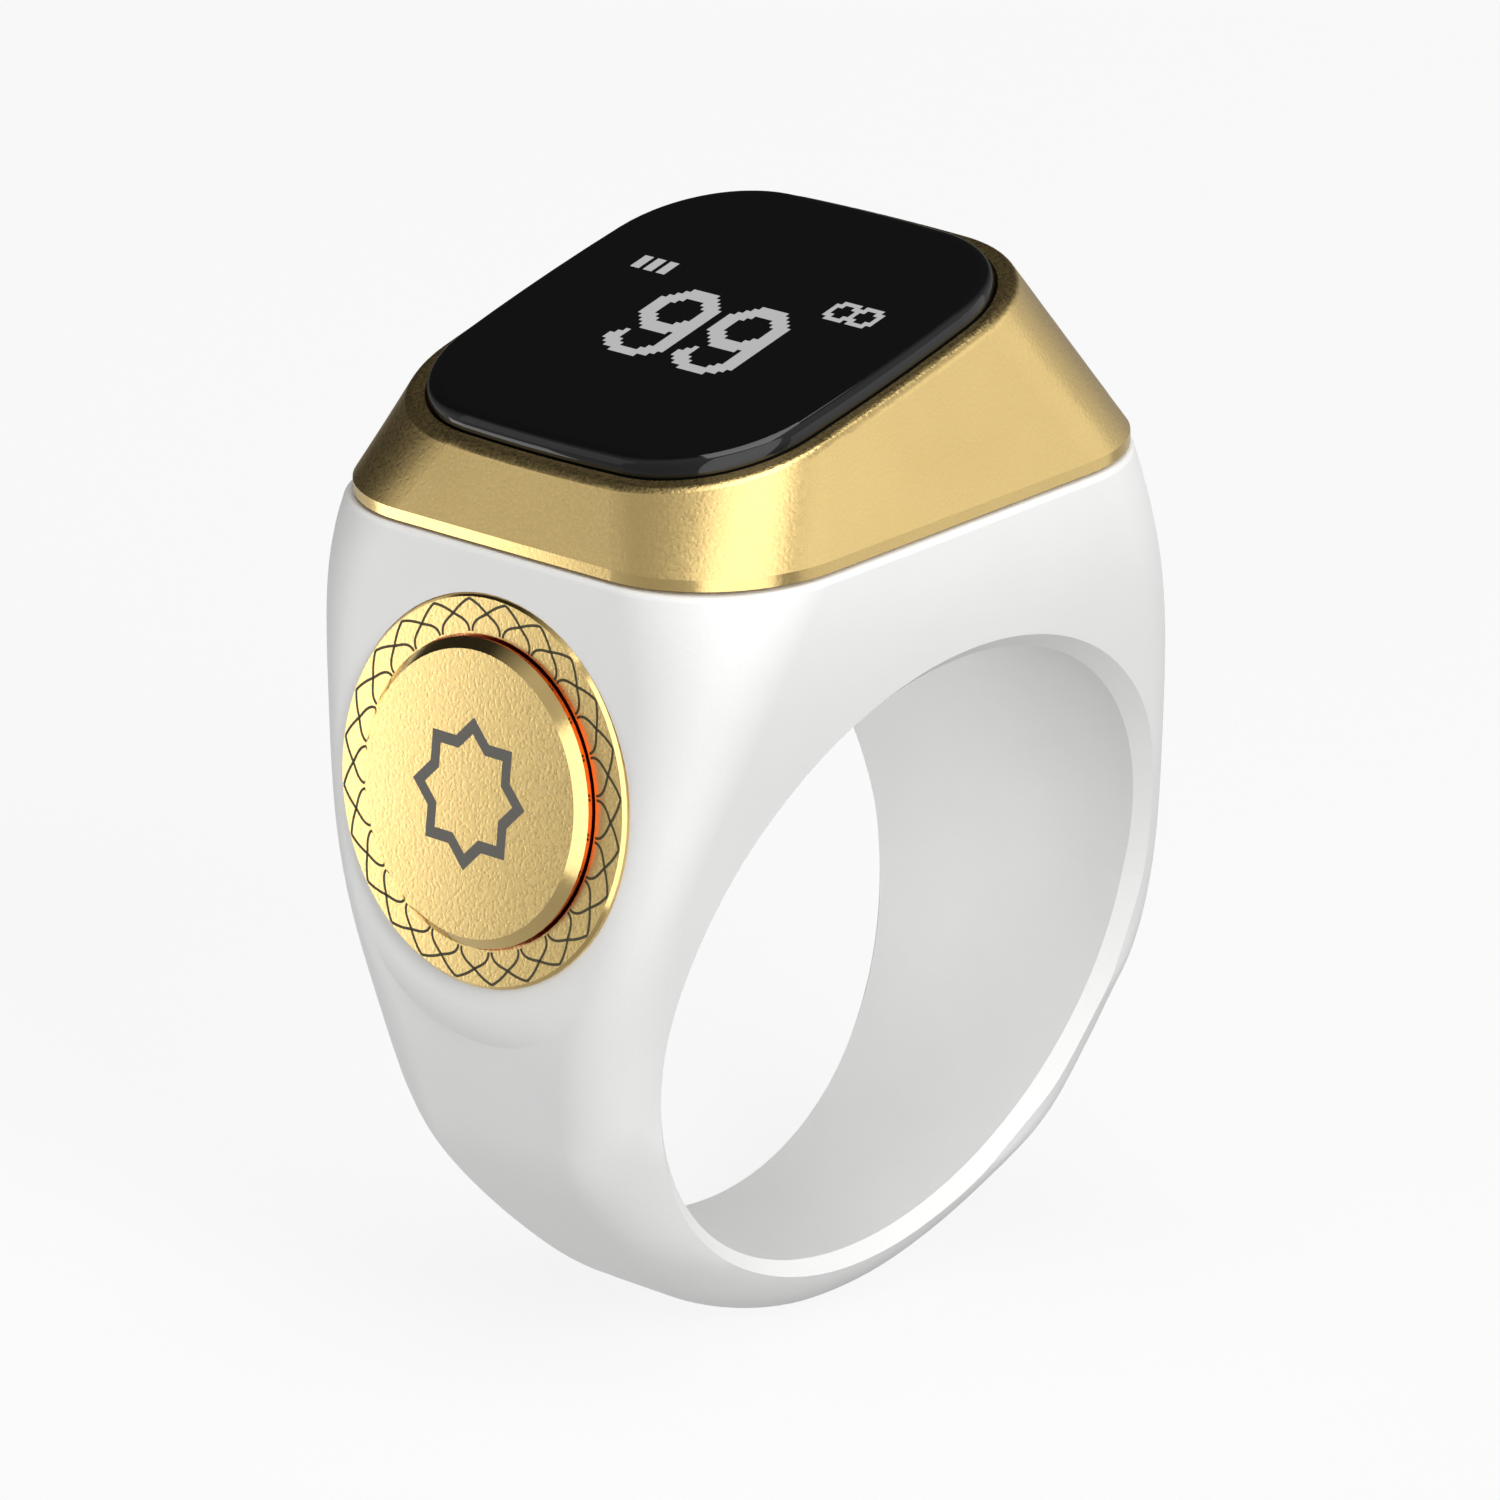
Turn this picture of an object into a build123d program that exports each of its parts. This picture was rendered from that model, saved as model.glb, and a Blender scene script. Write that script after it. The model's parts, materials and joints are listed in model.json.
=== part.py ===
"""Digital tasbih counter worn as a finger ring: a moulded body with a push button and a tilted display.

Millimetres and degrees. The origin is the centre of the finger bore, Y is the bore's axis,
+Z points up to the display and -X is the side that carries the button.
"""

import os
from math import cos, exp, log, radians, sin, sqrt, tan

from build123d import *

# Finger bore and the walls of the band around it
bore_radius = 10.0
bore_chamfer = 0.5
bottom_wall = 2.0
right_wall = 2.1
left_wall = 2.7
left_roundness = 1.85
right_roundness = 2.1
ceiling_wall = 1.3

# Half widths of the band and the head along Y
waist_half_width = 5.65
upper_flare = 15.6
lower_flare = 12.4
head_half_width = 9.0
width_blend = 0.25
slice_margin = 0.05

# Head, measured on the seam where the bezel stands on the body
seam_rise = 4.45
seam_tilt = 2.8
head_center_x = -1.25
head_half_length = 10.25
shoulder_wall = 0.85
waist_corner = 2.0
cheek_corner = 1.8
shoulder_corner = 2.9
head_corner = 4.6
seam_edge_radius = 0.2
head_wall = 1.2
button_side_wall = 2.1
pocket_corner = 3.4

# Pad that carries the button
pad_wall = 2.25
pad_tilt = 6.5
cheek_swell = 0.16
button_drop = 7.55
pad_sink = 0.04
pad_corner_drop = 0.35
pad_side_inset = 0.1
lip_start = 0.4
lip_middle = 1.75
lip_end = 2.35
lip_drop = 0.95

# Button, its trim ring and its gasket
trim_radius = 5.84
trim_flange = 0.2
trim_chamfer = 0.1
trim_sleeve_radius = 5.3
trim_sleeve_wall = 0.3
trim_sleeve_depth = 1.2
trim_lip_depth = 0.3
trim_seat_depth = 1.3
button_radius = 4.6
button_proud = 0.5
button_bevel_height = 0.28
button_bevel_width = 0.32
button_flange = 0.4
button_lift_gap = 0.05
stem_radius = 1.0
running_clearance = 0.07
press_clearance = 0.02
gasket_inner_radius = 3.62
gasket_edge_gap = 0.15

# Switch behind the button
switch_travel = 0.2
switch_pocket_width = 5.2
switch_pocket_height = 4.8
switch_pocket_depth = 1.12
switch_pocket_gap = 0.2
switch_board_thickness = 0.4
switch_width = 4.0
switch_height = 3.4
switch_body = 0.55
switch_floor = 0.05
switch_cover_thickness = 0.1
switch_well_radius = 1.35
dome_thickness = 0.05
plunger_radius = 0.85
plunger_flange_radius = 1.2
plunger_flange = 0.15
plunger_proud = 0.25
flex_thickness = 0.12
flex_width = 2.4
flex_slot_gap = 0.2
flex_bend = 0.4

# Display lens and the plane that it lies in
lens_center_x = -2.755
lens_rise = 4.35
lens_tilt = 16.2
lens_end_margin = 2.8
lens_side_margin = 1.784
lens_bow = 0.4
lens_corner = 4.1
lens_proud = 0.45
lens_thickness = 1.3
lens_edge_radius = 0.5
lens_gap = 0.08
lens_adhesive_thickness = 0.15
rim_width = 0.5
rim_edge_radius = 0.35
rim_drop = 0.1

# Bezel
bezel_inset = 0.1
bezel_foot = 0.35
bezel_foot_bow = 0.02
seal_thickness = 0.12
seal_inset = 0.35
seal_clearance = 0.1
ledge_thickness = 1.0
tongue_depth = 1.2
tongue_clearance = 0.05
tongue_wall = 0.5
cavity_rise = 0.3
cavity_end_margin = 0.85
cavity_side_margin = 0.15

# Display module
bond_thickness = 0.1
panel_end_margin = 2.55
panel_side_margin = 1.7
panel_gap = 0.25
carrier_thickness = 0.6
carrier_gap = 0.1
carrier_end_margin = 2.2
carrier_side_margin = 2.85
panel_flex_run = 2.2
panel_flex_end_gap = 1.0
panel_flex_side_gap = 1.2
screw_end_margin = 2.8
screw_side_margin = 0.75
screw_radius = 0.4
screw_head_radius = 0.65
screw_head = 0.4
screw_length = 1.4

# Main board and what is soldered to it
board_end_margin = 0.6
board_side_margin = 1.5
board_thickness = 0.6
board_corner = 1.0
chip_side = 4.0
chip_height = 0.8
chip_x = -1.0
crystal_length = 2.0
crystal_width = 1.6
crystal_height = 0.5
crystal_end_margin = 0.6
crystal_side_margin = 1.85
antenna_length = 3.2
antenna_width = 1.6
antenna_height = 1.0
antenna_margin = 0.5
capacitor_length = 1.0
capacitor_width = 0.5
capacitor_height = 0.5
capacitor_column_pitch = 1.3
capacitor_row_pitch = 1.1
capacitor_margin = 0.6

# Battery, vibration motor and charging contacts
tape_thickness = 0.1
tape_margin = 1.0
battery_end_gap = 2.6
battery_side_gap = 1.5
battery_thickness = 2.0
battery_corner = 0.6
lead_radius = 0.2
lead_spacing = 1.5
lead_run = 0.9
lead_bend = 0.45
motor_radius = 3.0
motor_height = 2.0
motor_wall_gap = 0.95
motor_cap = 0.35
motor_cap_inset = 0.4
pin_spacing = 5.0
pin_radius = 0.8
pin_recess = 0.05
pin_head_radius = 1.2
pin_head = 0.2
charge_flex_thickness = 0.1
charge_flex_width = 2.0
charge_flex_wall_gap = 1.0

# Worked out from the sizes above
bottom_radius = bore_radius + bottom_wall
seam_z = bore_radius + seam_rise
button_height = seam_z - button_drop
floor_z = bore_radius + ceiling_wall
pad_x = bore_radius + pad_wall
head_left = head_half_length - head_center_x
head_right = head_half_length + head_center_x


def tilted_plane(center, tilt):
    """A plane that rises towards +X by the given angle, with its normal upwards."""
    angle = radians(tilt)
    return Plane(origin=center, x_dir=(cos(angle), 0, sin(angle)), z_dir=(-sin(angle), 0, cos(angle)))


seam_plane = tilted_plane((head_center_x, 0, seam_z), seam_tilt)
lens_plane = tilted_plane((lens_center_x, 0, seam_z + lens_rise), lens_tilt)
lens_section = Plane(origin=lens_plane.origin, x_dir=lens_plane.x_dir, z_dir=(0, -1, 0))

# On the pad's plane x runs along -Y, y runs up the cheek and z points out of the button.
pad_normal = Vector(-cos(radians(pad_tilt)), 0, sin(radians(pad_tilt)))
pad_plane = Plane(origin=(-pad_x, 0, button_height), x_dir=(0, -1, 0), z_dir=pad_normal)
pad_section = Plane(origin=pad_plane.origin, x_dir=(0, -1, 0), z_dir=-pad_plane.y_dir)
pad_axis = Axis(pad_plane.origin, pad_normal)


def curve_through(z, points):
    """Value at z of the parabola through three (z, value) points."""
    (za, a), (zb, b), (zc, c) = points
    share_a = (z - zb) * (z - zc) / ((za - zb) * (za - zc))
    share_b = (z - za) * (z - zc) / ((zb - za) * (zb - zc))
    share_c = (z - za) * (z - zb) / ((zc - za) * (zc - zb))
    return a * share_a + b * share_b + c * share_c


def band_curve(z, waist, depth, roundness):
    """Reach along X, below the waist, of a curve that is round at 2 and squarer above that."""
    share = min(abs(z) / depth, 1)
    return waist * (1 - share**roundness) ** (1 / roundness)


def button_side(z):
    """Distance from the bore's axis to the outer skin on the button's side."""
    waist = bore_radius + left_wall
    if z < 0:
        return band_curve(z, waist, bottom_radius, left_roundness)
    swell = cheek_swell * sin(radians(180 * min(z / button_height, 1))) ** 2
    return swell + curve_through(z, [(0, waist), (button_height, pad_x), (seam_z, head_left)])


def far_side(z):
    """Distance from the bore's axis to the outer skin opposite the button."""
    waist = bore_radius + right_wall
    if z < 0:
        return band_curve(z, waist, bottom_radius, right_roundness)
    shoulder = bore_radius + shoulder_wall
    return curve_through(z, [(0, waist), (seam_z / 2, shoulder), (seam_z, head_right)])


def half_width(z):
    """Half width of the ring along Y: the band flares upwards until it meets the head's sides."""
    flare = waist_half_width + z * tan(radians(upper_flare if z > 0 else lower_flare))
    return -width_blend * log(exp(-flare / width_blend) + exp(-head_half_width / width_blend))


def corner_radius(z, middle):
    """Radius of the ring's upright corners, from the band over the given middle value to the seam."""
    return curve_through(z, [(0, waist_corner), (button_height, middle), (seam_z, head_corner)])


def slice_corners(z):
    """X and Y radii of a level slice's corners, on the button's side and on the far side."""
    if z >= 0:
        cheek, shoulder = corner_radius(z, cheek_corner), corner_radius(z, shoulder_corner)
        return (cheek, cheek), (shoulder, shoulder)
    flat_depth = bottom_radius - waist_corner
    flat_left = band_curve(z, bore_radius + left_wall - waist_corner, flat_depth, left_roundness)
    flat_right = band_curve(z, bore_radius + right_wall - waist_corner, flat_depth, right_roundness)
    left = button_side(z) - flat_left
    right = far_side(z) - flat_right
    depth = min(bottom_radius + z, waist_corner)
    breadth = sqrt(waist_corner**2 - (waist_corner - depth) ** 2)
    return (left - slice_margin, breadth), (right - slice_margin, breadth)


def slice_half_width(z):
    """Half width of a level slice, drawn in where it cuts the band's round lower edge."""
    depth = min(bottom_radius + z, waist_corner)
    return half_width(z) - waist_corner + sqrt(waist_corner**2 - (waist_corner - depth) ** 2)


def slice_outline(left, right, half, left_corner, right_corner):
    """A level slice through the ring: a rectangle whose corners are quarters of ellipses."""
    (left_x, left_y), (right_x, right_y) = left_corner, right_corner
    with BuildSketch(Plane.XY, mode=Mode.PRIVATE) as outline:
        with BuildLine():
            EllipticalCenterArc((left_x - left, left_y - half), left_x, left_y, 180)
            Line((left_x - left, -half), (right - right_x, -half))
            EllipticalCenterArc((right - right_x, right_y - half), right_x, right_y, 270)
            Line((right, right_y - half), (right, half - right_y))
            EllipticalCenterArc((right - right_x, half - right_y), right_x, right_y, 0)
            Line((right - right_x, half), (left_x - left, half))
            EllipticalCenterArc((left_x - left, half - left_y), left_x, left_y, 90)
            Line((-left, half - left_y), (-left, left_y - half))
        make_face()
    return outline.sketch


def soft_rectangle(half_length, half_breadth, bow, corner):
    """A rectangle with slightly bowed sides and round corners."""
    x, y = half_length - bow, half_breadth - bow
    with BuildSketch(Plane.XY, mode=Mode.PRIVATE) as outline:
        with BuildLine():
            ThreePointArc((-x, -y), (0, -half_breadth), (x, -y))
            ThreePointArc((x, -y), (half_length, 0), (x, y))
            ThreePointArc((x, y), (0, half_breadth), (-x, y))
            ThreePointArc((-x, y), (-half_length, 0), (-x, -y))
        make_face()
        fillet(outline.vertices(), corner)
    return outline.sketch


def lens_outline(growth):
    """The lens's outline, grown outwards or, below zero, drawn in."""
    return soft_rectangle(lens_half_length + growth, lens_half_width + growth, lens_bow, lens_corner + growth)


def pad_disc(radius, low, high, mode=Mode.ADD):
    """A disc on the button's axis between two heights over the pad."""
    with BuildSketch(pad_plane.offset(low)) as disc:
        Circle(radius)
    extrude(disc.sketch, amount=high - low, mode=mode)


def pad_block(width, height, low, high, mode=Mode.ADD):
    """A block square to the button's axis between two heights over the pad."""
    with BuildSketch(pad_plane.offset(low)) as block:
        Rectangle(width, height)
    extrude(block.sketch, amount=high - low, mode=mode)


def pad_point(up, out):
    """The X and Z of a point on the button's mid plane, up the cheek and out of the pad."""
    spot = pad_plane.from_local_coords(Vector(0, up, out))
    return spot.X, spot.Z


def lens_block(size, place, low, high, mode=Mode.ADD):
    """A block square to the display between two heights over the lens's plane."""
    with BuildSketch(lens_plane.offset(low)) as block:
        with Locations(place):
            Rectangle(*size)
    extrude(block.sketch, amount=high - low, mode=mode)


def strip(plane, points, bend, thickness, width, mode=Mode.ADD):
    """A folded flexible strip: its side view drawn on a plane, and its width across it."""
    with BuildSketch(plane) as side_view:
        with BuildLine():
            path = FilletPolyline(*points, radius=bend)
        trace(path, line_width=thickness)
    extrude(side_view.sketch, amount=width / 2, both=True, mode=mode)


# Heights over the pad of the button and of the switch behind it
button_flange_top = -trim_lip_depth - button_lift_gap
button_back = button_flange_top - button_flange
button_face = trim_flange + button_proud
switch_floor_level = -trim_seat_depth - switch_pocket_depth
switch_board_low = switch_floor_level + flex_thickness
switch_board_top = switch_board_low + switch_board_thickness
switch_body_top = switch_board_top + switch_body
switch_cover_top = switch_body_top + switch_cover_thickness
switch_well_floor = switch_board_top + switch_floor
plunger_low = switch_well_floor + dome_thickness + switch_travel
plunger_top = switch_cover_top + plunger_proud

# Sizes of the lens and of the display module behind it
lens_half_length = head_half_length - lens_end_margin
lens_half_width = half_width(seam_z) - lens_side_margin
cavity_half_length = lens_half_length - cavity_end_margin
cavity_half_width = lens_half_width - cavity_side_margin
panel_length = 2 * (lens_half_length - panel_end_margin)
panel_width = 2 * (lens_half_width - panel_side_margin)
window_length = 2 * (cavity_half_length - carrier_end_margin)
window_width = 2 * (cavity_half_width - carrier_side_margin)
screw_x = cavity_half_length - screw_end_margin
screw_y = cavity_half_width - screw_side_margin
board_length = 2 * (cavity_half_length - board_end_margin)
board_width = 2 * (cavity_half_width - board_side_margin)

# Heights over the lens's plane of the stacked display module
lens_low = lens_proud - lens_thickness
ledge_top = lens_low - lens_adhesive_thickness
ledge_low = ledge_top - ledge_thickness
panel_top = lens_low - bond_thickness
carrier_low = ledge_low - carrier_thickness
board_low = carrier_low - board_thickness

# Where the seam cuts the body's skin, seen from above
seam_slope = tan(radians(seam_tilt))
seam_left = -button_side(seam_z + (-head_left - head_center_x) * seam_slope)
seam_right = far_side(seam_z + (head_right - head_center_x) * seam_slope)
bezel_center = (seam_left + seam_right) / 2
bezel_shift = (bezel_center - head_center_x) / cos(radians(seam_tilt))
bezel_half_length = (seam_right - seam_left) / 2 / cos(radians(seam_tilt)) - bezel_inset
bezel_half_width = half_width(seam_z) - bezel_inset
bezel_corner = head_corner - bezel_inset

# The head's pocket, seen from above
pocket_left = seam_left + button_side_wall
pocket_right = seam_right - head_wall
pocket_center = (pocket_left + pocket_right) / 2
pocket_half_length = (pocket_right - pocket_left) / 2
pocket_half_width = bezel_half_width - head_wall
tongue_low = seam_z - (head_half_length * seam_slope) - tongue_depth

# Battery stack on the pocket's floor
battery_length = 2 * (pocket_half_length - battery_end_gap)
battery_width = 2 * (pocket_half_width - battery_side_gap)
battery_low = floor_z + tape_thickness
battery_top = battery_low + battery_thickness
motor_low = battery_top + tape_thickness
motor_center_x = pocket_right - motor_wall_gap - motor_radius
battery_center_x = pocket_center + lead_run / 2
charge_flex_low = floor_z - charge_flex_thickness
pin_head_low = charge_flex_low - pin_head


def board_underside(x):
    """Height of the main board's lower face at a given X."""
    start = lens_plane.from_local_coords(Vector(0, 0, board_low))
    return start.Z + (x - start.X) * tan(radians(lens_tilt))


def pocket_outline(shrink):
    """The pocket's outline, drawn in all round."""
    with Locations((pocket_center, 0)):
        RectangleRounded(
            2 * (pocket_half_length - shrink),
            2 * (pocket_half_width - shrink),
            pocket_corner - shrink,
        )


def bezel_outline(shrink):
    """The bezel's foot on the seam, drawn in all round."""
    with Locations((bezel_shift, 0)):
        add(
            soft_rectangle(
                bezel_half_length - shrink,
                bezel_half_width - shrink,
                bezel_foot_bow,
                bezel_corner - shrink,
            )
        )


# Side view of the strip from the switch to the main board, in X and Z
flex_out = switch_floor_level + flex_thickness / 2
flex_climb = (floor_z - button_height) / cos(radians(pad_tilt)) + 2 * flex_bend
landing_x = pocket_left + tongue_clearance + tongue_wall + 3 * flex_bend
switch_route = [
    pad_point(-switch_height / 2, flex_out),
    pad_point(flex_climb, flex_out),
    (landing_x, floor_z + 3 * flex_bend),
    (landing_x, board_underside(landing_x - flex_thickness / 2)),
]

# Raised pad: it follows the cheek's plane and ends in a soft lip under the button
pad_root = -(trim_seat_depth + lip_drop)
with BuildPart() as button_pad:
    for level in (-bottom_radius / 5, 0, button_height / 2, button_height, button_height + trim_radius):
        reach = pad_x - pad_sink + (button_height - level) * tan(radians(pad_tilt))
        radius = corner_radius(max(level, 0), cheek_corner)
        rise = max(reach - button_side(level), 0)
        corner = (radius + rise + pad_corner_drop, radius - pad_side_inset)
        with BuildSketch(Plane.XY.offset(level)):
            add(slice_outline(reach, 0, half_width(level) - pad_side_inset, corner, corner))
    loft()
    with BuildSketch(pad_section):
        with BuildLine():
            Bezier(
                (trim_radius + lip_start, -pad_sink / 2),
                (trim_radius + lip_middle, -pad_sink),
                (trim_radius + lip_middle, -0.6 * lip_drop),
                (trim_radius + lip_end, -lip_drop),
            )
            Polyline(
                (trim_radius + lip_end, -lip_drop),
                (trim_radius + lip_end, pad_root),
                (0, pad_root),
                (0, lip_drop),
                (trim_radius + lip_start, lip_drop),
                (trim_radius + lip_start, -pad_sink / 2),
            )
        make_face()
    revolve(axis=pad_axis, mode=Mode.INTERSECT)


def bore_mouth(flare_angle, keep):
    """The part of a flared mouth above or below the bore's middle, in a side that slants by the given angle."""
    slant = radians(flare_angle)
    with BuildPart() as mouth:
        for radius, out in ((bore_radius, -bore_chamfer), (bore_radius + 2 * bore_chamfer, bore_chamfer)):
            center = (0, waist_half_width + out, 0)
            with BuildSketch(Plane(origin=center, x_dir=(1, 0, 0), z_dir=(0, -cos(slant), sin(slant)))):
                Ellipse(radius, radius / cos(slant))
        loft(ruled=True)
        split(bisect_by=Plane.XY, keep=keep)
    return mouth.part


# Cutter for the bore's chamfered mouths, which lie in the band's slanted sides
with BuildPart() as bore_mouths:
    add(bore_mouth(upper_flare, Keep.TOP))
    add(bore_mouth(lower_flare, Keep.BOTTOM))
    mirror(about=Plane.XZ)

# Ring body: level slices from the band's bottom to above the seam, then bore, pocket and seats
slice_levels = [-bottom_radius * sin(radians(angle)) for angle in (88, 83, 75, 64, 50, 34, 17)]
slice_levels += [seam_z * share for share in (0, 0.22, 0.47, 0.72, 1.0, 1.2)]
with BuildPart() as ring_body:
    for level in slice_levels:
        half = slice_half_width(level)
        with BuildSketch(Plane.XY.offset(level)):
            add(slice_outline(button_side(level), far_side(level), half, *slice_corners(level)))
    loft()
    add(button_pad.part)
    split(bisect_by=seam_plane, keep=Keep.BOTTOM)
    fillet(ring_body.faces().sort_by(Axis.Z)[-1].outer_wire().edges(), seam_edge_radius)
    with BuildSketch(Plane.XZ):
        Circle(bore_radius)
    extrude(amount=2 * head_half_width, both=True, mode=Mode.SUBTRACT)
    add(bore_mouths.part, mode=Mode.SUBTRACT)
    with BuildSketch(Plane.XY.offset(floor_z)):
        pocket_outline(0)
    extrude(amount=2 * seam_rise, mode=Mode.SUBTRACT)
    pad_disc(trim_radius + press_clearance, 0, pad_wall, Mode.SUBTRACT)
    pad_disc(trim_sleeve_radius + press_clearance, -trim_seat_depth, pad_wall, Mode.SUBTRACT)
    pad_block(switch_pocket_width, switch_pocket_height, switch_floor_level, 0, Mode.SUBTRACT)
    slot_size = (flex_thickness + 2 * flex_slot_gap, flex_width + 2 * flex_slot_gap)
    strip(Plane.XZ, switch_route, flex_bend, *slot_size, Mode.SUBTRACT)
    with BuildSketch(Plane.XY.offset(bore_radius / 2)):
        with GridLocations(0, pin_spacing, 1, 2):
            Circle(pin_radius + press_clearance)
    extrude(amount=bore_radius, mode=Mode.SUBTRACT)
    with BuildSketch(Plane.XY.offset(pin_head_low)):
        with GridLocations(0, pin_spacing, 1, 2):
            Circle(pin_head_radius + press_clearance)
    extrude(amount=seam_rise, mode=Mode.SUBTRACT)
    with BuildSketch(Plane.XY.offset(charge_flex_low)):
        Rectangle(charge_flex_width + 2 * press_clearance, 2 * pocket_half_width)
    extrude(amount=seam_rise, mode=Mode.SUBTRACT)
ring_body.part.label = "ring_body"

# Bezel: a sloped frame from the seam to the lens, with a ledge for the lens and a tongue in the pocket
with BuildPart() as bezel:
    with BuildSketch(seam_plane.offset(seal_thickness)):
        bezel_outline(0)
    extrude(amount=bezel_foot)
    with BuildSketch(seam_plane.offset(seal_thickness + bezel_foot)):
        bezel_outline(0)
    with BuildSketch(lens_plane.offset(-rim_drop)):
        add(lens_outline(lens_gap + rim_width))
    loft(ruled=True)
    rim_face = bezel.faces().sort_by(Axis(lens_plane.origin, lens_plane.z_dir))[-1]
    fillet(rim_face.edges(), rim_edge_radius)
    with BuildSketch(Plane.XY.offset(tongue_low)):
        pocket_outline(tongue_clearance)
    extrude(amount=seam_z - tongue_low)
    shrink = tongue_clearance + tongue_wall
    tongue_opening = soft_rectangle(
        pocket_half_length - shrink, pocket_half_width - shrink, bezel_foot_bow, pocket_corner - shrink
    )
    with BuildSketch(Plane.XY.offset(tongue_low)):
        with Locations((pocket_center, 0)):
            add(tongue_opening)
    with BuildSketch(seam_plane.offset(cavity_rise)):
        with Locations((pocket_center - head_center_x, 0)):
            add(tongue_opening)
    with BuildSketch(lens_plane.offset(ledge_low)):
        add(soft_rectangle(cavity_half_length, cavity_half_width, bezel_foot_bow, pocket_corner))
    loft(ruled=True, mode=Mode.SUBTRACT)
    with BuildSketch(lens_plane.offset(ledge_top)):
        add(lens_outline(lens_gap))
    extrude(amount=lens_thickness + lens_rise, mode=Mode.SUBTRACT)
    opening = (panel_length + 2 * panel_gap, panel_width + 2 * panel_gap)
    lens_block(opening, (0, 0), ledge_low - flex_thickness, lens_rise, Mode.SUBTRACT)
    with BuildSketch(lens_plane.offset(ledge_low)):
        with GridLocations(2 * screw_x, 2 * screw_y, 2, 2):
            Circle(screw_radius)
    extrude(amount=screw_length - carrier_thickness, mode=Mode.SUBTRACT)
bezel.part.label = "bezel"

# Adhesive seal in the seam between the bezel and the body
with BuildPart() as bezel_seal:
    with BuildSketch(seam_plane):
        bezel_outline(seal_inset)
    extrude(amount=seal_thickness)
    with BuildSketch(Plane.XY.offset(floor_z)):
        pocket_outline(-seal_clearance)
    extrude(amount=2 * seam_rise, mode=Mode.SUBTRACT)
bezel_seal.part.label = "bezel_seal"

# Dark glass lens with a rounded edge, its adhesive frame and the clear bond to the panel
with BuildPart() as display_lens:
    with BuildSketch(lens_plane.offset(lens_low)):
        add(lens_outline(0))
    extrude(amount=lens_thickness)
    top_face = display_lens.faces().sort_by(Axis(lens_plane.origin, lens_plane.z_dir))[-1]
    fillet(top_face.edges(), lens_edge_radius)
display_lens.part.label = "display_lens"

with BuildPart() as lens_adhesive:
    with BuildSketch(lens_plane.offset(ledge_top)):
        add(lens_outline(-seal_clearance))
    extrude(amount=lens_adhesive_thickness)
    lens_block(opening, (0, 0), ledge_low, lens_low, Mode.SUBTRACT)
lens_adhesive.part.label = "lens_adhesive"

with BuildPart() as display_bond:
    lens_block((panel_length - panel_gap, panel_width - panel_gap), (0, 0), panel_top, lens_low)
display_bond.part.label = "display_bond"

# Display panel, its folded tail, the carrier that backs it and the carrier's four screws
with BuildPart() as oled_panel:
    lens_block((panel_length, panel_width), (0, 0), ledge_low, panel_top)
oled_panel.part.label = "oled_panel"

with BuildPart() as display_flex:
    tail_top = ledge_low - flex_thickness / 2
    tail_low = carrier_low + flex_thickness / 2
    tail_start = window_length / 2 - panel_flex_end_gap
    tail_end = tail_start - panel_flex_run
    tail = [(tail_start, tail_top), (tail_end, tail_top), (tail_end, tail_low), (tail_start, tail_low)]
    tail_width = window_width - 2 * panel_flex_side_gap
    strip(lens_section, tail, (tail_top - tail_low) / 3, flex_thickness, tail_width)
display_flex.part.label = "display_flex"

with BuildPart() as display_carrier:
    carrier_size = (2 * (cavity_half_length - carrier_gap), 2 * (cavity_half_width - carrier_gap))
    with BuildSketch(lens_plane.offset(carrier_low)):
        RectangleRounded(*carrier_size, pocket_corner)
        Rectangle(window_length, window_width, mode=Mode.SUBTRACT)
        with GridLocations(2 * screw_x, 2 * screw_y, 2, 2):
            Circle(screw_radius + press_clearance, mode=Mode.SUBTRACT)
    extrude(amount=carrier_thickness)
display_carrier.part.label = "display_carrier"

with BuildPart() as carrier_screws:
    with BuildSketch(lens_plane.offset(carrier_low - screw_head)):
        with GridLocations(2 * screw_x, 2 * screw_y, 2, 2):
            Circle(screw_head_radius)
    extrude(amount=screw_head)
    with BuildSketch(lens_plane.offset(carrier_low)):
        with GridLocations(2 * screw_x, 2 * screw_y, 2, 2):
            Circle(screw_radius - press_clearance)
    extrude(amount=screw_length - press_clearance)
    with BuildSketch(lens_plane.offset(carrier_low - screw_head)):
        with GridLocations(2 * screw_x, 2 * screw_y, 2, 2):
            RegularPolygon(screw_radius, 6)
    extrude(amount=screw_head / 2, mode=Mode.SUBTRACT)
carrier_screws.part.label = "carrier_screws"

# Main board and its parts, all on its lower face
with BuildPart() as main_board:
    with BuildSketch(lens_plane.offset(board_low)):
        RectangleRounded(board_length, board_width, board_corner)
    extrude(amount=board_thickness)
main_board.part.label = "main_board"

with BuildPart() as bluetooth_chip:
    lens_block((chip_side, chip_side), (chip_x, 0), board_low - chip_height, board_low)
bluetooth_chip.part.label = "bluetooth_chip"

with BuildPart() as clock_crystal:
    crystal_x = crystal_end_margin + crystal_length / 2 - board_length / 2
    crystal_y = board_width / 2 - crystal_side_margin - crystal_width / 2
    lens_block((crystal_length, crystal_width), (crystal_x, crystal_y), board_low - crystal_height, board_low)
clock_crystal.part.label = "clock_crystal"

with BuildPart() as chip_antenna:
    antenna_x = board_length / 2 - antenna_margin - antenna_length / 2
    antenna_y = board_width / 2 - antenna_margin - antenna_width / 2
    lens_block((antenna_length, antenna_width), (antenna_x, antenna_y), board_low - antenna_height, board_low)
chip_antenna.part.label = "chip_antenna"

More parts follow.
